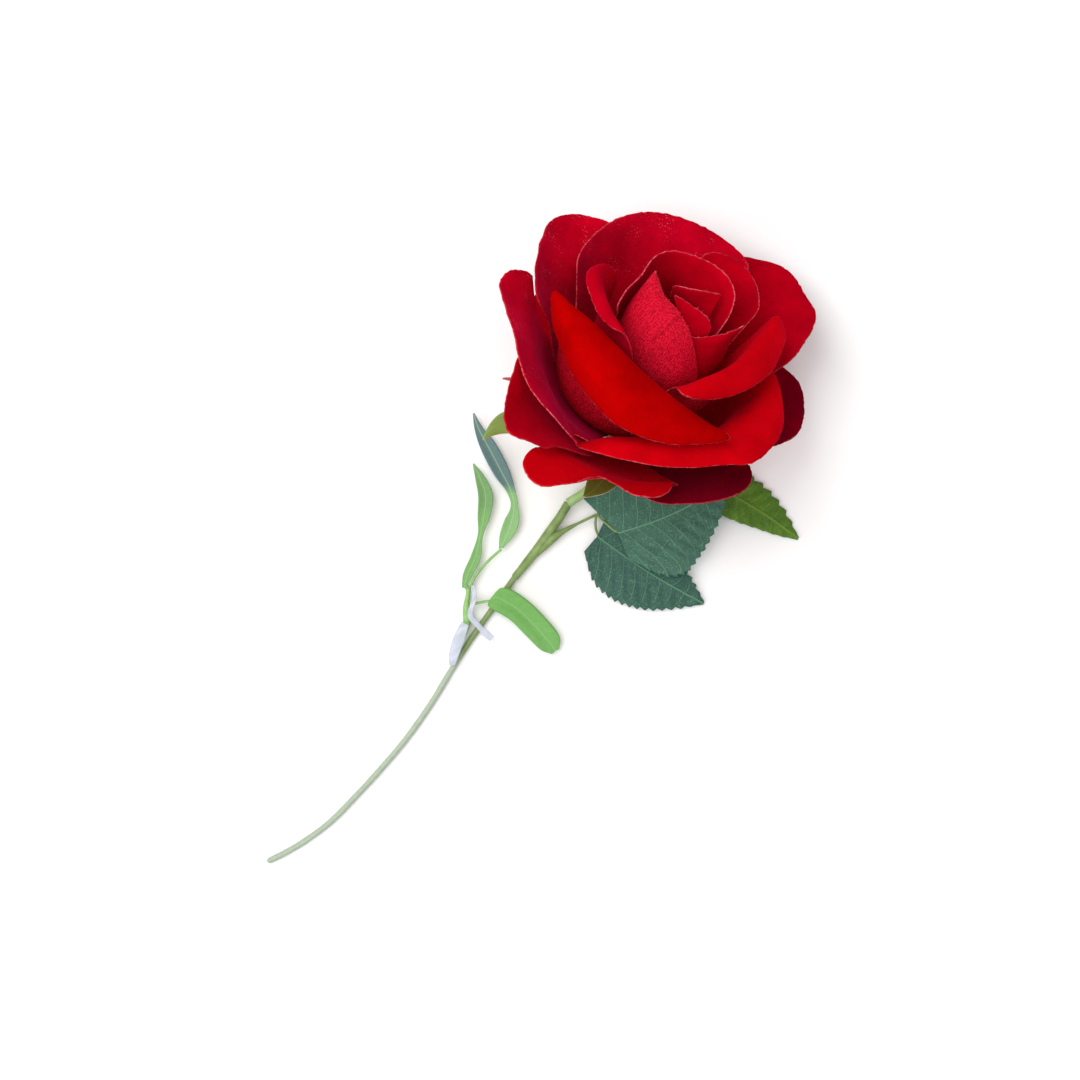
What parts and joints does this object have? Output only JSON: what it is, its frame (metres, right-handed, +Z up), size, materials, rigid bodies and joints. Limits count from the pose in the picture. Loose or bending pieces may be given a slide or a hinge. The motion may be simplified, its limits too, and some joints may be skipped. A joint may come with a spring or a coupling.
{
  "type": "artificial rose stem",
  "caption": "Single artificial red velvet rose on a bent coated-wire stem, with a toothed leaf set and a tied-on sprig of narrow leaves, lying flat.",
  "frame": {"origin": "on the surface the stem lies on, under the middle of the piece's box", "axes": "+Z up from the surface; +Y from the stem's cut end towards the bloom; +X towards the bloom's side with the leaf set"},
  "size_m": [0.1762, 0.208, 0.0819],
  "materials": {
    "velvet": "deep red flocked velvet on the face, woven satin on the back",
    "foam": "pale foam core, hidden inside the bud",
    "calyx_green": "moulded soft light green plastic, matt",
    "sepal_green": "printed green cloth, pink at the tips",
    "stem_green": "olive green plastic over wire, matt",
    "wire_green": "greyish green coated wire, low sheen",
    "leaf_teal": "printed dark teal green cloth with light veins",
    "leaf_lime": "printed yellow green cloth with light veins",
    "sprig_green": "soft light green plastic",
    "tie_film": "thin translucent whitish film"
  },
  "bodies": {
    "root": {"bud_core": "foam", "calyx_cup": "calyx_green", "leaf_rachis": "stem_green", "leaf_sheath": "stem_green", "leaflet_end": "leaf_lime", "leaflet_lower": "leaf_teal", "leaflet_upper": "leaf_teal", "petal_bud_curl": "velvet", "petal_bud_front": "velvet", "petal_bud_inner": "velvet", "petal_bud_right": "velvet", "petal_bud_side": "velvet", "petal_cup_back_left": "velvet", "petal_cup_back_right": "velvet", "petal_cup_front_right": "velvet", "petal_cup_left": "velvet", "petal_inner_left": "velvet", "petal_inner_right": "velvet", "petal_mid_back": "velvet", "petal_mid_front": "velvet", "petal_mid_right": "velvet", "petal_outer_back_left": "velvet", "petal_outer_back_right": "velvet", "petal_outer_front": "velvet", "petal_outer_front_right": "velvet", "petal_outer_left": "velvet", "petal_outer_right": "velvet", "petiolule_lower": "stem_green", "petiolule_upper": "stem_green", "sepal_back_left": "sepal_green", "sepal_back_right": "sepal_green", "sepal_front": "sepal_green", "sepal_left": "sepal_green", "sepal_right": "sepal_green", "sprig_leaf_left": "sprig_green", "sprig_leaf_right": "sprig_green", "sprig_leaf_tall": "sprig_green", "sprig_stalk_right": "sprig_green", "sprig_stalk_tall": "sprig_green", "sprig_twig": "sprig_green", "stem_neck": "calyx_green", "stem_upper": "stem_green", "stem_wire": "wire_green", "tie_strip_lower": "tie_film", "tie_strip_upper": "tie_film"}
  },
  "joints": []
}
